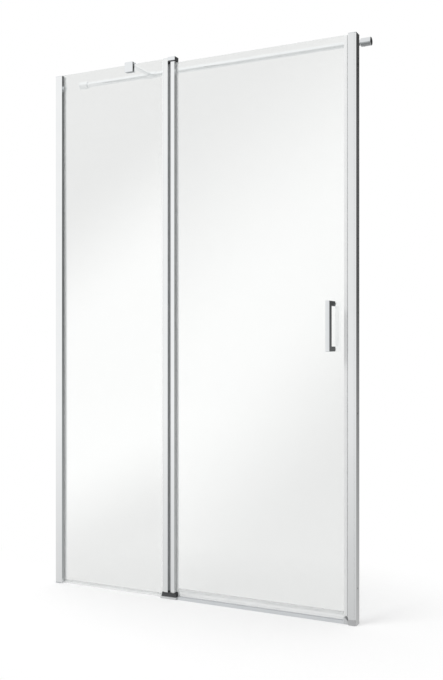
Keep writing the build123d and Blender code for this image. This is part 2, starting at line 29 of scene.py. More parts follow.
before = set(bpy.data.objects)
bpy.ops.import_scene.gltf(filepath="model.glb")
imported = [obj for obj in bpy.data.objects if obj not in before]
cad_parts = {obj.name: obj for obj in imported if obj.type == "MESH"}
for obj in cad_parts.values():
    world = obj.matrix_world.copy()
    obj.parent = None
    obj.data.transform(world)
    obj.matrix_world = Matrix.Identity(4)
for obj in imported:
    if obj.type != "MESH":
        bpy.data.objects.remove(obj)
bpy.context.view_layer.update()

MM = 0.001


# Colours and nodes

def colour(hex_code):
    """An sRGB hex value as linear red, green, blue and alpha."""
    channels = [int(hex_code[i:i + 2], 16) / 255 for i in (1, 3, 5)]
    return tuple(c / 12.92 if c <= 0.04045 else ((c + 0.055) / 1.055) ** 2.4 for c in channels) + (1.0,)


def add(tree, kind, settings=None, inputs=None):
    """Adds a node. settings are its properties, inputs are values or the sockets that feed it."""
    made = tree.nodes.new(kind)
    for name, value in (settings or {}).items():
        setattr(made, name, value)
    for name, value in (inputs or {}).items():
        if isinstance(value, bpy.types.NodeSocket):
            tree.links.new(value, made.inputs[name])
        else:
            made.inputs[name].default_value = value
    return made


# The Mix node has one set of sockets for each kind of data, told apart by number.
COLOUR_A = 6
COLOUR_B = 7
COLOUR_RESULT = 2
NUMBER_A = 2
NUMBER_B = 3
NUMBER_RESULT = 0

MULTIPLY = {"operation": "MULTIPLY"}
MULTIPLY_ADD = {"operation": "MULTIPLY_ADD"}
SUBTRACT = {"operation": "SUBTRACT"}
DIVIDE = {"operation": "DIVIDE"}
ABSOLUTE = {"operation": "ABSOLUTE"}
ABOVE = {"operation": "GREATER_THAN"}
DOT = {"operation": "DOT_PRODUCT"}
SMOOTH = {"interpolation_type": "SMOOTHSTEP"}
STRAIGHT = {"interpolation_type": "LINEAR"}
COLOURS = {"data_type": "RGBA"}
NUMBERS = {"data_type": "FLOAT"}


def new_material(name):
    material = bpy.data.materials.new(name)
    material.use_nodes = True
    material.node_tree.nodes.clear()
    return material, material.node_tree


def finish_material(tree, shader):
    add(tree, "ShaderNodeOutputMaterial", None, {"Surface": shader})


def grain(tree, millimetres, stretch=(1, 1, 1), detail=3.0):
    """Noise with grains about that many millimetres wide, longer along an axis where stretch is above 1."""
    place = add(tree, "ShaderNodeTexCoord")
    scaled = add(tree, "ShaderNodeMapping", None, {
        "Vector": place.outputs["Object"],
        "Scale": tuple(1 / s for s in stretch),
    })
    return add(tree, "ShaderNodeTexNoise", None, {
        "Vector": scaled.outputs["Vector"],
        "Scale": 1 / (millimetres * MM),
        "Detail": detail,
    }).outputs["Fac"]


# Widths of the soft clouds in which a finish drifts from its lighter tone to its darker one
METAL_CLOUD_MM = 60
MOULDING_CLOUD_MM = 40


def metal(name, light, dark, roughness, grain_mm, bump_mm, stretch=(1, 1, 1)):
    """A plated or polished metal: two close tones, a roughness that drifts and a very low relief."""
    material, tree = new_material(name)
    lines = grain(tree, grain_mm, stretch)
    tone = add(tree, "ShaderNodeMix", COLOURS, {
        "Factor": grain(tree, METAL_CLOUD_MM),
        COLOUR_A: colour(light),
        COLOUR_B: colour(dark),
    })
    gloss = add(tree, "ShaderNodeMapRange", STRAIGHT, {
        "Value": lines,
        "To Min": roughness[0],
        "To Max": roughness[1],
    })
    relief = add(tree, "ShaderNodeBump", None, {
        "Height": lines,
        "Distance": bump_mm * MM,
        "Strength": 0.35,
    })
    shader = add(tree, "ShaderNodeBsdfPrincipled", None, {
        "Base Color": tone.outputs[COLOUR_RESULT],
        "Metallic": 1.0,
        "Roughness": gloss.outputs["Result"],
        "Normal": relief.outputs["Normal"],
    })
    finish_material(tree, shader.outputs["BSDF"])
    return material


def moulded(name, light, dark, roughness, grain_mm, bump_mm, solidity=1.0):
    """A moulded or extruded plastic or rubber with a fine mould texture."""
    material, tree = new_material(name)
    skin = grain(tree, grain_mm)
    tone = add(tree, "ShaderNodeMix", COLOURS, {
        "Factor": grain(tree, MOULDING_CLOUD_MM),
        COLOUR_A: colour(light),
        COLOUR_B: colour(dark),
    })
    gloss = add(tree, "ShaderNodeMapRange", STRAIGHT, {
        "Value": skin,
        "To Min": roughness[0],
        "To Max": roughness[1],
    })
    relief = add(tree, "ShaderNodeBump", None, {
        "Height": skin,
        "Distance": bump_mm * MM,
        "Strength": 0.5,
    })
    shader = add(tree, "ShaderNodeBsdfPrincipled", None, {
        "Base Color": tone.outputs[COLOUR_RESULT],
        "Roughness": gloss.outputs["Result"],
        "Normal": relief.outputs["Normal"],
        "Alpha": solidity,
    })
    finish_material(tree, shader.outputs["BSDF"])
    return material


# Extruded aluminium, polished and bright anodised: nearly white, with faint die lines up the profile.
# Real die lines are 0.1 mm apart, too fine to show, so they are drawn 1.2 mm apart.
bright_anodised_aluminium = metal(
    "bright_anodised_aluminium", "#F4F5F5", "#EEF0F1",
    roughness=(0.06, 0.12), grain_mm=1.2, bump_mm=0.004, stretch=(1, 1, 60),
)

# The left wall channel and the threshold are left as extruded and satin anodised: greyer and softer.
satin_anodised_aluminium = metal(
    "satin_anodised_aluminium", "#D6D8DA", "#CACDD0",
    roughness=(0.28, 0.4), grain_mm=1.0, bump_mm=0.01, stretch=(1, 1, 40),
)

# Turned and cast brass with a polished chrome plate: a clear mirror with a faint haze from wiping.
chrome_plated_brass = metal(
    "chrome_plated_brass", "#EEF0F1", "#E6E9EB",
    roughness=(0.03, 0.07), grain_mm=14, bump_mm=0.003,
)

# Caps moulded in ABS and chrome plated: a softer mirror with a trace of mould flow.
chrome_plated_abs = metal(
    "chrome_plated_abs", "#E6E8EA", "#DDE0E2",
    roughness=(0.07, 0.13), grain_mm=6, bump_mm=0.01,
)

# Screws and pins of stainless steel, turned: greyer, with a satin sheen.
turned_stainless_steel = metal(
    "turned_stainless_steel", "#C9CBCC", "#B9BCBE",
    roughness=(0.2, 0.34), grain_mm=0.8, bump_mm=0.01,
)

# Seals extruded in clear soft PVC: nearly see-through, with a waxy gloss and a trace of white.
clear_soft_pvc = moulded(
    "clear_soft_pvc", "#F4F5F5", "#ECEEEE",
    roughness=(0.16, 0.26), grain_mm=3, bump_mm=0.01, solidity=0.3,
)

# The seals that hold the magnets are extruded in frosted PVC: pale grey, with the same soft gloss.
frosted_soft_pvc = moulded(
    "frosted_soft_pvc", "#DEDFDF", "#D5D6D6",
    roughness=(0.2, 0.3), grain_mm=2, bump_mm=0.01,
)

# The bulb seal in the gap at the hinge is extruded in grey soft rubber: matt and even.
grey_soft_rubber = moulded(
    "grey_soft_rubber", "#B4B6B7", "#A6A8A9",
    roughness=(0.5, 0.62), grain_mm=0.9, bump_mm=0.02,
)

# The housing of the pivot foot and the plate under the bracket are moulded in black glass-filled nylon:
# a fine spark texture, half matt.
black_nylon = moulded(
    "black_nylon", "#3B3C3E", "#303133",
    roughness=(0.3, 0.42), grain_mm=0.7, bump_mm=0.03,
)

# The foot's base, the stile's plugs and the threshold's end are moulded in grey ABS: smooth and half matt.
grey_abs = moulded(
    "grey_abs", "#BFC0C1", "#B1B3B4",
    roughness=(0.32, 0.44), grain_mm=0.8, bump_mm=0.015,
)

# The cap under the closing profile is a darker grey moulding.
dark_grey_abs = moulded(
    "dark_grey_abs", "#ACADAE", "#9D9E9F",
    roughness=(0.3, 0.42), grain_mm=0.8, bump_mm=0.015,
)

# Bushes and washers moulded in white acetal: waxy white.
white_acetal = moulded(
    "white_acetal", "#EEEEEA", "#E4E4DF",
    roughness=(0.28, 0.36), grain_mm=0.8, bump_mm=0.01,
)

# Bonded ferrite magnet: dull brown-black.
bonded_ferrite = moulded(
    "bonded_ferrite", "#3A3532", "#2C2826",
    roughness=(0.6, 0.75), grain_mm=0.6, bump_mm=0.02,
)

FLOAT_GLASS_IOR = 1.5
# Higher than on real coated glass, so that the panes mirror as much as they do in the photo.
COATING_IOR = 2.2
ROLLER_WAVE_MM = 250


def clear_float_glass_material():
    """Toughened clear float glass: grey on its faces, green at its edges, where its thickness gathers."""
    material, tree = new_material("clear_float_glass")
    # The faces of the panes look along Y in their own space, also when the door has turned.
    shape = add(tree, "ShaderNodeTexCoord")
    facing = add(tree, "ShaderNodeSeparateXYZ", None, {"Vector": shape.outputs["Normal"]})
    flat = add(tree, "ShaderNodeMath", ABSOLUTE, {0: facing.outputs["Y"]})
    edge = add(tree, "ShaderNodeMapRange", SMOOTH, {
        "Value": flat.outputs[0],
        "To Min": 1.0,
        "To Max": 0.0,
    })
    tone = add(tree, "ShaderNodeMix", COLOURS, {
        "Factor": edge.outputs["Result"],
        COLOUR_A: colour("#E3E4E3"),
        COLOUR_B: colour("#CFE0D9"),
    })
    # The rollers of the toughening oven leave long, very low waves.
    wave = add(tree, "ShaderNodeBump", None, {
        "Height": grain(tree, ROLLER_WAVE_MM, detail=0.0),
        "Distance": 0.02 * MM,
        "Strength": 0.2,
    })
    glass = add(tree, "ShaderNodeBsdfPrincipled", None, {
        "Base Color": tone.outputs[COLOUR_RESULT],
        "Roughness": 0.0,
        "IOR": FLOAT_GLASS_IOR,
        "Transmission Weight": 1.0,
        "Coat Weight": 1.0,
        "Coat Roughness": 0.0,
        "Coat IOR": COATING_IOR,
        "Normal": wave.outputs["Normal"],
    })
    # Lamps shine through it, and metal beside it mirrors the studio through it, without a second image.
    clear = add(tree, "ShaderNodeBsdfTransparent", None, {"Color": colour("#F2F3F3")})
    path = add(tree, "ShaderNodeLightPath")
    mirrored = add(tree, "ShaderNodeMath", ABOVE, {0: path.outputs["Glossy Depth"], 1: 0.5})
    straight = add(tree, "ShaderNodeMath", {"operation": "MAXIMUM"}, {
        0: path.outputs["Is Shadow Ray"],
        1: mirrored.outputs[0],
    })
    seen = add(tree, "ShaderNodeMixShader", None, {
        0: straight.outputs[0],
        1: glass.outputs["BSDF"],
        2: clear.outputs["BSDF"],
    })
    finish_material(tree, seen.outputs["Shader"])
    return material


clear_float_glass = clear_float_glass_material()

finish_of = {
    bright_anodised_aluminium: [
        "left_glazing_profile", "hinge_post", "door_stile", "closing_profile", "right_wall_channel",
    ],
    satin_anodised_aluminium: ["left_wall_channel", "threshold_strip"],
    chrome_plated_brass: [
        "top_pivot_bracket", "clamp_front_jaw", "clamp_rear_jaw", "brace_arm", "brace_tee", "brace_bar",
        "left_bar_holder", "right_bar_holder", "handle", "handle_back_caps",
    ],
    chrome_plated_abs: ["left_top_cap", "left_bottom_cap", "closing_top_cap"],
    turned_stainless_steel: [
        "left_fixing_screws", "right_fixing_screws", "post_fixing_screws", "foot_screws", "clamp_screws",
        "bar_grub_screws", "handle_screws", "upper_pivot_pin", "lower_pivot_pin",
    ],
    clear_soft_pvc: [
        "fixed_panel_seal", "door_bottom_seal", "clamp_pads", "left_glazing_gaskets",
        "post_glazing_gaskets", "stile_glazing_gaskets",
    ],
    frosted_soft_pvc: ["door_magnetic_seal", "closing_magnet_strip"],
    grey_soft_rubber: ["post_gap_seal"],
    black_nylon: ["pivot_foot_housing", "upper_bearing_plate"],
    grey_abs: ["threshold_end_block", "stile_top_plug", "stile_bottom_plug", "pivot_foot_base"],
    dark_grey_abs: ["closing_foot_cap"],
    white_acetal: ["upper_pivot_bush", "lower_pivot_bush", "pivot_thrust_washer", "handle_glass_bushes"],
    bonded_ferrite: ["door_magnet", "closing_magnet"],
    clear_float_glass: ["fixed_glass", "door_glass"],
}

for finish, names in finish_of.items():
    for name in names:
        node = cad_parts[name]
        node.data.materials.clear()
        node.data.materials.append(finish)


# Shapes, in millimetres in the CAD's own frame

CLEAR_CORNER = math.radians(25)
CREASE = math.radians(50)


def block(mesh, low, high):
    """A box between two corners."""
    corners = bmesh.ops.create_cube(mesh, size=1.0)["verts"]
    bmesh.ops.scale(mesh, vec=[(b - a) * MM for a, b in zip(low, high)], verts=corners)
    bmesh.ops.translate(mesh, vec=[(a + b) / 2 * MM for a, b in zip(low, high)], verts=corners)


def extruded(mesh, corners, push):
    """A flat outline, pushed by a length along one axis."""
    face = mesh.faces.new([mesh.verts.new([value * MM for value in corner]) for corner in corners])
    pushed = bmesh.ops.extrude_face_region(mesh, geom=[face])["geom"]
    moved = [part for part in pushed if isinstance(part, bmesh.types.BMVert)]
    bmesh.ops.translate(mesh, vec=[value * MM for value in push], verts=moved)
    bmesh.ops.holes_fill(mesh, edges=mesh.edges[:])


def soften(mesh, radius, segments=3, chosen=None):
    """Rounds the sharp edges, or those of them that chosen accepts."""
    sharp = []
    for edge in mesh.edges:
        if edge.is_manifold and edge.calc_face_angle() > CLEAR_CORNER and (chosen is None or chosen(edge)):
            sharp.append(edge)
    bmesh.ops.bevel(mesh, geom=sharp, offset=radius * MM, offset_type="OFFSET", affect="EDGES",
                    segments=segments, profile=0.5, material=-1, clamp_overlap=True)


def runs_along(axis):
    """Accepts the edges that run along an axis."""
    return lambda edge: abs((edge.verts[0].co - edge.verts[1].co).normalized()[axis]) > 0.99


def piece(name, mesh, finish, slot, body, *stands_for):
    """Closes a shape into a piece that rides on its body and stands for CAD nodes."""
    bmesh.ops.remove_doubles(mesh, verts=mesh.verts[:], dist=0.001 * MM)
    bmesh.ops.recalc_face_normals(mesh, faces=mesh.faces[:])
    data = bpy.data.meshes.new(name)
    mesh.to_mesh(data)
    mesh.free()
    data.materials.append(finish)
    data.shade_smooth()
    data.set_sharp_from_angle(angle=CREASE)
    made = bpy.data.objects.new(name, data)
    bpy.context.scene.collection.objects.link(made)
    even = made.modifiers.new("even_normals", "WEIGHTED_NORMAL")
    even.keep_sharp = True
    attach(made, body)
    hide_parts(*stands_for)


# Handle: one square bar with a leg at each end, all edges rounded by polishing

HANDLE_LEFT = 1111.05
HANDLE_RIGHT = 1124.55
HANDLE_FRONT = -63
HANDLE_BACK = -39
HANDLE_FOOT = -4
HANDLE_BOTTOM = 892
HANDLE_TOP = 1058
LOWER_LEG_TOP = 909
UPPER_LEG_BOTTOM = 1041
HANDLE_EDGE_RADIUS = 1.0

handle_mesh = bmesh.new()
block(handle_mesh, (HANDLE_LEFT, HANDLE_FRONT, HANDLE_BOTTOM), (HANDLE_RIGHT, HANDLE_BACK, HANDLE_TOP))
for height in (LOWER_LEG_TOP, UPPER_LEG_BOTTOM):
    everything = handle_mesh.verts[:] + handle_mesh.edges[:] + handle_mesh.faces[:]
    bmesh.ops.bisect_plane(handle_mesh, geom=everything, plane_co=(0, 0, height * MM), plane_no=(0, 0, 1))
handle_mesh.normal_update()
leg_faces = []
for face in handle_mesh.faces:
    height = face.calc_center_median().z / MM
    if face.normal.y > 0.9 and not LOWER_LEG_TOP < height < UPPER_LEG_BOTTOM:
        leg_faces.append(face)
legs = bmesh.ops.extrude_face_region(handle_mesh, geom=leg_faces)["geom"]
leg_ends = [part for part in legs if isinstance(part, bmesh.types.BMVert)]
bmesh.ops.translate(handle_mesh, vec=(0, (HANDLE_FOOT - HANDLE_BACK) * MM, 0), verts=leg_ends)
bmesh.ops.delete(handle_mesh, geom=[face for face in leg_faces if face.is_valid], context="FACES")
bmesh.ops.recalc_face_normals(handle_mesh, faces=handle_mesh.faces[:])
soften(handle_mesh, HANDLE_EDGE_RADIUS)
piece("pull_handle", handle_mesh, chrome_plated_brass, "chrome_metal", "door", "handle")


# Threshold: a low extruded strip with two drip grooves, and the moulded block that ends it

STRIP_LEFT = 530
STRIP_RIGHT = 1155.5
STRIP_TOP = 11
STRIP_HALF = 12
GROOVES = (-4, 3)
GROOVE_HALF = 0.6
GROOVE_DEPTH = 0.7
HOLLOW_FRONT = -8
HOLLOW_BACK = 5
HOLLOW_TOP = 1.2
END_RIGHT = 1172.5
END_TOP = 22
END_TIP = 9
END_DEPTH = 22
STRIP_EDGE_RADIUS = 0.25
END_EDGE_RADIUS = 0.8

strip_section = [(-STRIP_HALF, 0), (-10, 8), (-7, STRIP_TOP)]
for groove in GROOVES:
    strip_section += [
        (groove - GROOVE_HALF, STRIP_TOP),
        (groove, STRIP_TOP - GROOVE_DEPTH),
        (groove + GROOVE_HALF, STRIP_TOP),
    ]
strip_section += [(6, STRIP_TOP), (STRIP_HALF, 2), (STRIP_HALF, 0)]
strip_section += [(HOLLOW_BACK, 0), (HOLLOW_BACK, HOLLOW_TOP), (HOLLOW_FRONT, HOLLOW_TOP), (HOLLOW_FRONT, 0)]

strip_mesh = bmesh.new()
extruded(strip_mesh, [(STRIP_LEFT, y, z) for y, z in strip_section], (STRIP_RIGHT - STRIP_LEFT, 0, 0))
soften(strip_mesh, STRIP_EDGE_RADIUS, 2, runs_along(0))
piece("threshold_extrusion", strip_mesh, satin_anodised_aluminium, "chrome_metal", "frame",
      "threshold_strip")

end_section = [
    (STRIP_RIGHT, 0),
    (STRIP_RIGHT, END_TOP),
    (STRIP_RIGHT + 3, END_TOP),
    (END_RIGHT, END_TIP),
    (END_RIGHT, 0),
]
end_mesh = bmesh.new()
extruded(end_mesh, [(x, -STRIP_HALF, z) for x, z in end_section], (0, END_DEPTH, 0))
soften(end_mesh, END_EDGE_RADIUS)
piece("threshold_end_moulding", end_mesh, grey_abs, "grey_plastic", "frame", "threshold_end_block")


# Glazing wedges: one on each face of the glass, with a lip that thins out along the pane

WEDGE_LENGTH = 9
GLASS_SIDE = 3.04
SLOT_SIDE = 5
WEDGE_EDGE_RADIUS = 0.15


def glazing_wedges(name, mouth, inwards, lip_reach, bottom, top, body, node):
    """inwards is the way from the slot's mouth into the profile, 1 or -1 along X."""
    root = mouth + inwards * WEDGE_LENGTH
    nose = mouth - inwards * lip_reach
    outline = [
        (root, GLASS_SIDE),
        (nose, GLASS_SIDE),
        (nose + inwards * 0.4, 3.5),
        (nose + inwards * 2, 4.5),
        (mouth, SLOT_SIDE),
        (mouth + inwards * 1, 4.6),
        (mouth + inwards * 2, SLOT_SIDE),
        (root, SLOT_SIDE),
    ]
    mesh = bmesh.new()
    for side in (-1, 1):
        extruded(mesh, [(x, side * y, bottom) for x, y in outline], (0, 0, top - bottom))
    soften(mesh, WEDGE_EDGE_RADIUS, 2, runs_along(2))
    piece(name, mesh, clear_soft_pvc, "clear_seal", body, node)


glazing_wedges("left_glazing_wedges", 30, -1, 3.5, 6, 1942.5, "frame", "left_glazing_gaskets")
glazing_wedges("post_glazing_wedges", 470, 1, 5.5, 24, 1944, "frame", "post_glazing_gaskets")
glazing_wedges("stile_glazing_wedges", 523.5, -1, 5.5, 27.6, 1929, "door", "stile_glazing_gaskets")


# Pan-head screws with a hexagon socket, driven from the shower side

PROFILE_BACK = 18
HEAD_RADIUS = 3.6
HEAD_HEIGHT = 2.2
SHANK_RADIUS = 1.9
SOCKET_RADIUS = 1.45
SOCKET_DEPTH = 1.3
TURNED_FACETS = 32
HEAD_END = PROFILE_BACK + HEAD_HEIGHT
WALL_SCREW_HEIGHTS = (250, 975, 1700)
POST_SCREW_HEIGHTS = (44, 1924)


def socket_screw(mesh, x, z, shank_start):
    """Its shank and head are turned as one outline round the screw's axis, and then the socket is sunk."""
    outline = [
        (0.0, shank_start),
        (SHANK_RADIUS - 0.6, shank_start),
        (SHANK_RADIUS, shank_start + 0.6),
        (SHANK_RADIUS, PROFILE_BACK),
        (HEAD_RADIUS, PROFILE_BACK),
        (HEAD_RADIUS, HEAD_END - 1.1),
        (HEAD_RADIUS - 0.25, HEAD_END - 0.5),
        (HEAD_RADIUS - 0.8, HEAD_END - 0.1),
        (HEAD_RADIUS - 1.4, HEAD_END),
    ]
    corners = [mesh.verts.new(((x + radius) * MM, y * MM, z * MM)) for radius, y in outline]
    edges = [mesh.edges.new(pair) for pair in zip(corners, corners[1:])]
    bmesh.ops.spin(mesh, geom=corners + edges, cent=(x * MM, 0, z * MM), axis=(0, 1, 0),
                   angle=math.tau, steps=TURNED_FACETS, use_merge=True)
    bmesh.ops.remove_doubles(mesh, verts=mesh.verts[:], dist=0.002 * MM)
    rim = []
    for edge in mesh.edges:
        middle = (edge.verts[0].co + edge.verts[1].co) / 2
        near = math.hypot(middle.x - x * MM, middle.z - z * MM) < HEAD_RADIUS * MM
        if edge.is_boundary and near and abs(middle.y - HEAD_END * MM) < 0.01 * MM:
            rim.append(edge)
    turn = Matrix.Rotation(math.radians(90), 4, "X")
    place = Matrix.Translation((x * MM, HEAD_END * MM, z * MM)) @ turn
    hexagon = bmesh.ops.create_circle(mesh, segments=6, radius=SOCKET_RADIUS * MM, matrix=place)["verts"]
    mouth = list({edge for corner in hexagon for edge in corner.link_edges})
    bmesh.ops.bridge_loops(mesh, edges=rim + mouth)
    sunk = bmesh.ops.extrude_edge_only(mesh, edges=mouth)["geom"]
    floor_corners = [part for part in sunk if isinstance(part, bmesh.types.BMVert)]
    bmesh.ops.translate(mesh, vec=(0, -SOCKET_DEPTH * MM, 0), verts=floor_corners)
    bmesh.ops.holes_fill(mesh, edges=[part for part in sunk if isinstance(part, bmesh.types.BMEdge)])


def screw_row(name, x, heights, shank_start, node):
    mesh = bmesh.new()
    for z in heights:
        socket_screw(mesh, x, z, shank_start)
    piece(name, mesh, turned_stainless_steel, "steel", "frame", node)


screw_row("left_wall_screws", 12, WALL_SCREW_HEIGHTS, 10, "left_fixing_screws")
screw_row("right_wall_screws", 1188, WALL_SCREW_HEIGHTS, 10, "right_fixing_screws")
screw_row("post_screws", 489.6, POST_SCREW_HEIGHTS, 9, "post_fixing_screws")


# Camera: level, at the photo's height and angle

CAMERA_PLACE = (2.1051, -2.8131, 0.9137)
VIEW_ANGLE = math.radians(26.49)
FOCAL_PIXELS = 895.3
PICTURE_HEIGHT = 680
SENSOR = 36.0
HORIZON_BELOW_MIDDLE = 5

camera_data = bpy.data.cameras.new("camera")
camera_data.sensor_width = SENSOR
camera_data.lens = FOCAL_PIXELS / PICTURE_HEIGHT * SENSOR
camera_data.shift_y = HORIZON_BELOW_MIDDLE / PICTURE_HEIGHT
camera = bpy.data.objects.new("camera", camera_data)
camera.location = CAMERA_PLACE
camera.rotation_euler = (math.radians(90), 0, VIEW_ANGLE)
bpy.context.scene.collection.objects.link(camera)
bpy.context.scene.camera = camera


# Stage: a white floor that keeps the object's shadow near its foot

FLOOR_SIZE = 8.0
PANEL_MIDDLE = 0.6
# Distances along the panel count for less, so the shadow's patch is as long as the panel.
PANEL_SQUEEZE = 0.7
SHADOW_NEAR = 0.25
SHADOW_FAR = 0.9
PAPER_SHARE = 0.75
LESS_BEHIND_GLASS = 0.7


def pale_floor_material():
    """Matt white paper round the object, which fades into the white of the backdrop."""
    material, tree = new_material("pale_floor")
    place = add(tree, "ShaderNodeNewGeometry")
    flattened = add(tree, "ShaderNodeMapping", None, {
        "Vector": place.outputs["Position"],
        "Location": (-PANEL_MIDDLE * PANEL_SQUEEZE, 0, 0),
        "Scale": (PANEL_SQUEEZE, 1, 0),
    })
    away = add(tree, "ShaderNodeVectorMath", {"operation": "LENGTH"}, {0: flattened.outputs["Vector"]})
    shown = add(tree, "ShaderNodeMapRange", SMOOTH, {
        "Value": away.outputs["Value"],
        "From Min": SHADOW_NEAR,
        "From Max": SHADOW_FAR,
        "To Min": PAPER_SHARE,
        "To Max": 0.0,
    })
    # Metal doesn't mirror the paper, and it is fainter through the glass.
    path = add(tree, "ShaderNodeLightPath")
    mirrored = add(tree, "ShaderNodeMath", ABOVE, {0: path.outputs["Glossy Depth"], 1: 0.5})
    behind = add(tree, "ShaderNodeMath", ABOVE, {0: path.outputs["Transmission Depth"], 1: 0.5})
    direct = add(tree, "ShaderNodeMath", SUBTRACT, {0: 1.0, 1: mirrored.outputs[0]})
    fainter = add(tree, "ShaderNodeMath", MULTIPLY_ADD, {0: behind.outputs[0], 1: -LESS_BEHIND_GLASS, 2: 1.0})
    seen = add(tree, "ShaderNodeMath", MULTIPLY, {0: direct.outputs[0], 1: fainter.outputs[0]})
    amount = add(tree, "ShaderNodeMath", MULTIPLY, {0: shown.outputs["Result"], 1: seen.outputs[0]})
    paper = add(tree, "ShaderNodeBsdfDiffuse", None, {"Color": colour("#FCFCFC")})
    # Where the paper has faded, the eye meets plain white, and every other ray goes on to the studio.
    open_air = add(tree, "ShaderNodeBsdfTransparent")
    white = add(tree, "ShaderNodeEmission", None, {"Color": colour("#FFFFFF")})
    surround = add(tree, "ShaderNodeMixShader", None, {
        0: path.outputs["Is Camera Ray"],
        1: open_air.outputs["BSDF"],
        2: white.outputs["Emission"],
    })
    mixed = add(tree, "ShaderNodeMixShader", None, {
        0: amount.outputs[0],
        1: surround.outputs["Shader"],
        2: paper.outputs["BSDF"],
    })
    finish_material(tree, mixed.outputs["Shader"])
    material.cycles.emission_sampling = "NONE"
    return material


floor_mesh = bmesh.new()
bmesh.ops.create_grid(floor_mesh, x_segments=1, y_segments=1, size=FLOOR_SIZE / 2)
floor_data = bpy.data.meshes.new("floor")
floor_mesh.to_mesh(floor_data)
floor_mesh.free()
floor = bpy.data.objects.new("floor", floor_data)
floor_data.materials.append(pale_floor_material())
bpy.context.scene.collection.objects.link(floor)


# Surroundings: white all round for the eye and through the glass, a soft studio for the metal to mirror

world = bpy.data.worlds.new("studio")
bpy.context.scene.world = world
world.use_nodes = True
world.cycles.sampling_method = "NONE"
sky = world.node_tree
sky.nodes.clear()

ray = add(sky, "ShaderNodeTexCoord").outputs["Generated"]
rise = add(sky, "ShaderNodeVectorMath", DOT, {0: ray, 1: (0, 0, 1)}).outputs["Value"]
rightwards = add(sky, "ShaderNodeVectorMath", DOT, {0: ray, 1: (1, 0, 0)}).outputs["Value"]
showerwards = add(sky, "ShaderNodeVectorMath", DOT, {0: ray, 1: (0, 1, 0)}).outputs["Value"]

# The studio that metal mirrors has white walls, which grey towards the ground.
low_wall = add(sky, "ShaderNodeMapRange", STRAIGHT, {
    "Value": rise,
    "From Min": -0.31,
    "From Max": -0.08,
    "To Min": 0.70,
    "To Max": 1.0,
})
ground = add(sky, "ShaderNodeMapRange", SMOOTH, {
    "Value": rise,
    "From Min": -0.8,
    "From Max": -0.31,
    "To Min": 0.5,
    "To Max": 1.0,
})
ground_shade = add(sky, "ShaderNodeMath", MULTIPLY, {
    0: low_wall.outputs["Result"],
    1: ground.outputs["Result"],
})

# It is a little whiter on the left, and greyer at both ends and straight behind.
side_shade = add(sky, "ShaderNodeMapRange", SMOOTH, {
    "Value": rightwards,
    "From Min": -0.46,
    "From Max": -0.28,
    "To Min": 0.98,
    "To Max": 0.87,
})
sidewards = add(sky, "ShaderNodeMath", ABSOLUTE, {0: rightwards})
end_walls = add(sky, "ShaderNodeMapRange", SMOOTH, {
    "Value": sidewards.outputs[0],
    "From Min": 0.86,
    "From Max": 0.97,
    "To Min": 1.0,
    "To Max": 0.62,
})
back_wall = add(sky, "ShaderNodeMapRange", SMOOTH, {
    "Value": showerwards,
    "From Min": 0.93,
    "From Max": 0.99,
    "To Min": 1.0,
    "To Max": 0.8,
})
walls = add(sky, "ShaderNodeMath", MULTIPLY, {
    0: end_walls.outputs["Result"],
    1: back_wall.outputs["Result"],
})
shaded = add(sky, "ShaderNodeMath", MULTIPLY, {
    0: ground_shade.outputs[0],
    1: side_shade.outputs["Result"],
})
white_wall = add(sky, "ShaderNodeMath", MULTIPLY, {
    0: shaded.outputs[0],
    1: walls.outputs[0],
})

# One dark wall stands behind on the right, and gives the profiles their dark stripe.
DARK_WALL = math.radians(27)
level = add(sky, "ShaderNodeVectorMath", MULTIPLY, {0: ray, 1: (1, 1, 0)})
bearing = add(sky, "ShaderNodeVectorMath", {"operation": "NORMALIZE"}, {0: level.outputs["Vector"]})
dark_wall_middle = add(sky, "ShaderNodeVectorMath", DOT, {
    0: bearing.outputs["Vector"],
    1: (math.sin(DARK_WALL), math.cos(DARK_WALL), 0),
})
dark_wall_place = add(sky, "ShaderNodeMapRange", SMOOTH, {
    "Value": dark_wall_middle.outputs["Value"],
    "From Min": 0.9,
    "From Max": 0.95,
    "To Min": 0.0,
    "To Max": 1.0,
})
dark_wall_foot = add(sky, "ShaderNodeMapRange", STRAIGHT, {
    "Value": rise,
    "From Min": -0.3,
    "From Max": 0.05,
    "To Min": 0.5,
    "To Max": 0.1,
})
dark_wall_head = add(sky, "ShaderNodeMapRange", SMOOTH, {
    "Value": rise,
    "From Min": 0.2,
    "From Max": 0.33,
    "To Min": 1.0,
    "To Max": 0.6,
})
dark_wall_tone = add(sky, "ShaderNodeMath", MULTIPLY, {
    0: dark_wall_foot.outputs["Result"],
    1: dark_wall_head.outputs["Result"],
})
mirrored = add(sky, "ShaderNodeMix", NUMBERS, {
    "Factor": dark_wall_place.outputs["Result"],
    NUMBER_A: white_wall.outputs[0],
    NUMBER_B: dark_wall_tone.outputs[0],
})

# Through the glass: white, with a painted reflection: a soft slanting glow across each pane that stands in
# for the studio light the panes mirror, seen only by rays through the glass.
# The glow is placed by direction, as sideways and upward slopes from the photo's line of sight.
GLOW_STRENGTH = 0.31
line_of_sight = (-math.sin(VIEW_ANGLE), math.cos(VIEW_ANGLE), 0)
across_sight = (math.cos(VIEW_ANGLE), math.sin(VIEW_ANGLE), 0)
ahead = add(sky, "ShaderNodeVectorMath", DOT, {0: ray, 1: line_of_sight}).outputs["Value"]
across = add(sky, "ShaderNodeVectorMath", DOT, {0: ray, 1: across_sight}).outputs["Value"]
sideways = add(sky, "ShaderNodeMath", DIVIDE, {0: across, 1: ahead}).outputs[0]
upward = add(sky, "ShaderNodeMath", DIVIDE, {0: rise, 1: ahead}).outputs[0]


def above_line(through, slope):
    """How far a direction is above a slanting line through one point."""
    start = through[1] - slope * through[0]
    line = add(sky, "ShaderNodeMath", MULTIPLY_ADD, {0: sideways, 1: slope, 2: start})
    return add(sky, "ShaderNodeMath", SUBTRACT, {0: upward, 1: line.outputs[0]}).outputs[0]


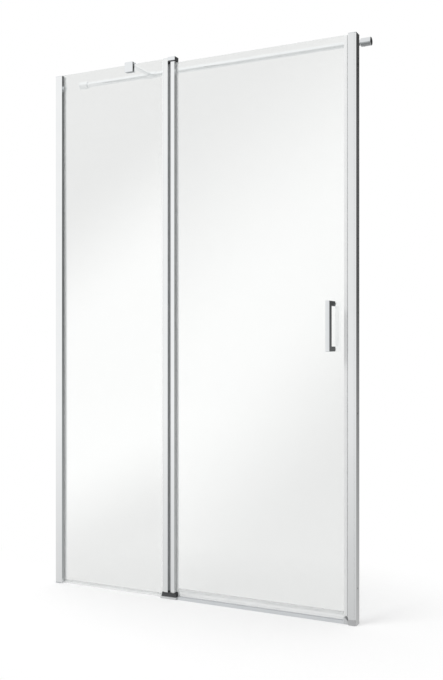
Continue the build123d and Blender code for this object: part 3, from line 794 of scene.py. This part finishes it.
fixed_upper = add(sky, "ShaderNodeMapRange", SMOOTH, {
    "Value": above_line((-0.119, 0.121), 0.84),
    "From Min": -0.075,
    "From Max": 0.095,
    "To Min": 1.0,
    "To Max": 0.0,
})
fixed_lower = add(sky, "ShaderNodeMapRange", SMOOTH, {
    "Value": above_line((-0.119, -0.169), 0.48),
    "From Min": -0.055,
    "From Max": 0.06,
    "To Min": 0.0,
    "To Max": 1.0,
})
fixed_glow = add(sky, "ShaderNodeMath", MULTIPLY, {
    0: fixed_upper.outputs["Result"],
    1: fixed_lower.outputs["Result"],
})
door_height = above_line((0.045, 0.0335), 0.92)
door_upper = add(sky, "ShaderNodeMapRange", SMOOTH, {
    "Value": door_height,
    "From Min": 0.02,
    "From Max": 0.325,
    "To Min": 1.0,
    "To Max": 0.0,
})
door_lower = add(sky, "ShaderNodeMapRange", SMOOTH, {
    "Value": door_height,
    "From Min": -0.268,
    "From Max": -0.022,
    "To Min": 0.0,
    "To Max": 1.0,
})
door_glow = add(sky, "ShaderNodeMath", MULTIPLY, {
    0: door_upper.outputs["Result"],
    1: door_lower.outputs["Result"],
})
door_side = add(sky, "ShaderNodeMapRange", SMOOTH, {
    "Value": sideways,
    "From Min": -0.075,
    "From Max": -0.042,
    "To Min": 0.0,
    "To Max": 1.0,
})
glow = add(sky, "ShaderNodeMix", NUMBERS, {
    "Factor": door_side.outputs["Result"],
    NUMBER_A: fixed_glow.outputs[0],
    NUMBER_B: door_glow.outputs[0],
})

# Seen from the side, the panes have no glow.
along_sight = add(sky, "ShaderNodeMath", ABSOLUTE, {0: ahead})
facing = add(sky, "ShaderNodeMapRange", SMOOTH, {
    "Value": along_sight.outputs[0],
    "From Min": 0.3,
    "From Max": 0.5,
    "To Min": 0.0,
    "To Max": 1.0,
})
facing_glow = add(sky, "ShaderNodeMath", MULTIPLY, {
    0: glow.outputs[NUMBER_RESULT],
    1: facing.outputs["Result"],
})
# Painted light: rays through the glass that look downward see a brighter backdrop, which lifts the lower part
# of the panes.
painted_low_lift = add(sky, "ShaderNodeMapRange", STRAIGHT, {
    "Value": rise,
    "From Min": -0.31,
    "From Max": -0.05,
    "To Min": 1.15,
    "To Max": 1.0,
})
through_glass = add(sky, "ShaderNodeMath", MULTIPLY_ADD, {
    0: facing_glow.outputs[0],
    1: GLOW_STRENGTH,
    2: painted_low_lift.outputs["Result"],
})

# Painted sheen: metal seen through a pane mirrors a brighter, nearly even backdrop instead of the studio, so
# it shows less of the dark wall, and its upward-facing rounded tops, such as the bar's, get a painted
# highlight.
PAINTED_SHEEN_SHARE = 0.88
SCATTERED_LIGHT = 0.75
path = add(sky, "ShaderNodeLightPath")
is_mirrored = add(sky, "ShaderNodeMath", ABOVE, {0: path.outputs["Glossy Depth"], 1: 0.5})
is_through = add(sky, "ShaderNodeMath", ABOVE, {0: path.outputs["Transmission Depth"], 1: 0.5})
is_scattered = add(sky, "ShaderNodeMath", ABOVE, {0: path.outputs["Diffuse Depth"], 1: 0.5})
direct = add(sky, "ShaderNodeMix", NUMBERS, {
    "Factor": is_through.outputs[0],
    NUMBER_A: 1.0,
    NUMBER_B: through_glass.outputs[0],
})
sheen_share = add(sky, "ShaderNodeMath", MULTIPLY, {0: is_through.outputs[0], 1: PAINTED_SHEEN_SHARE})
painted_sheen = add(sky, "ShaderNodeMapRange", SMOOTH, {
    "Value": rise,
    "From Min": 0.0,
    "From Max": 0.6,
    "To Min": 1.08,
    "To Max": 1.45,
})
mirrored_behind = add(sky, "ShaderNodeMix", NUMBERS, {
    "Factor": sheen_share.outputs[0],
    NUMBER_A: mirrored.outputs[NUMBER_RESULT],
    NUMBER_B: painted_sheen.outputs["Result"],
})
shown = add(sky, "ShaderNodeMix", NUMBERS, {
    "Factor": is_mirrored.outputs[0],
    NUMBER_A: direct.outputs[NUMBER_RESULT],
    NUMBER_B: mirrored_behind.outputs[NUMBER_RESULT],
})
strength = add(sky, "ShaderNodeMix", NUMBERS, {
    "Factor": is_scattered.outputs[0],
    NUMBER_A: shown.outputs[NUMBER_RESULT],
    NUMBER_B: SCATTERED_LIGHT,
})
background = add(sky, "ShaderNodeBackground", None, {
    "Color": colour("#FFFFFF"),
    "Strength": strength.outputs[NUMBER_RESULT],
})
add(sky, "ShaderNodeOutputWorld", None, {"Surface": background.outputs["Background"]})


# One large soft lamp from the front left

LAMP_PLACE = (-0.7, -2.6, 3.0)
LAMP_AIM = Vector((0.6, 0, 1.1))
LAMP_WIDTH = 2.0
LAMP_HEIGHT = 1.4
LAMP_WATTS = 80

lamp_data = bpy.data.lights.new("soft_lamp", "AREA")
lamp_data.shape = "RECTANGLE"
lamp_data.size = LAMP_WIDTH
lamp_data.size_y = LAMP_HEIGHT
lamp_data.energy = LAMP_WATTS
lamp = bpy.data.objects.new("soft_lamp", lamp_data)
lamp.location = LAMP_PLACE
lamp.rotation_euler = (LAMP_AIM - lamp.location).to_track_quat("-Z", "Y").to_euler()
lamp.visible_glossy = False
lamp.visible_camera = False
lamp.visible_transmission = False
bpy.context.scene.collection.objects.link(lamp)

bpy.context.scene.view_settings.view_transform = "Standard"
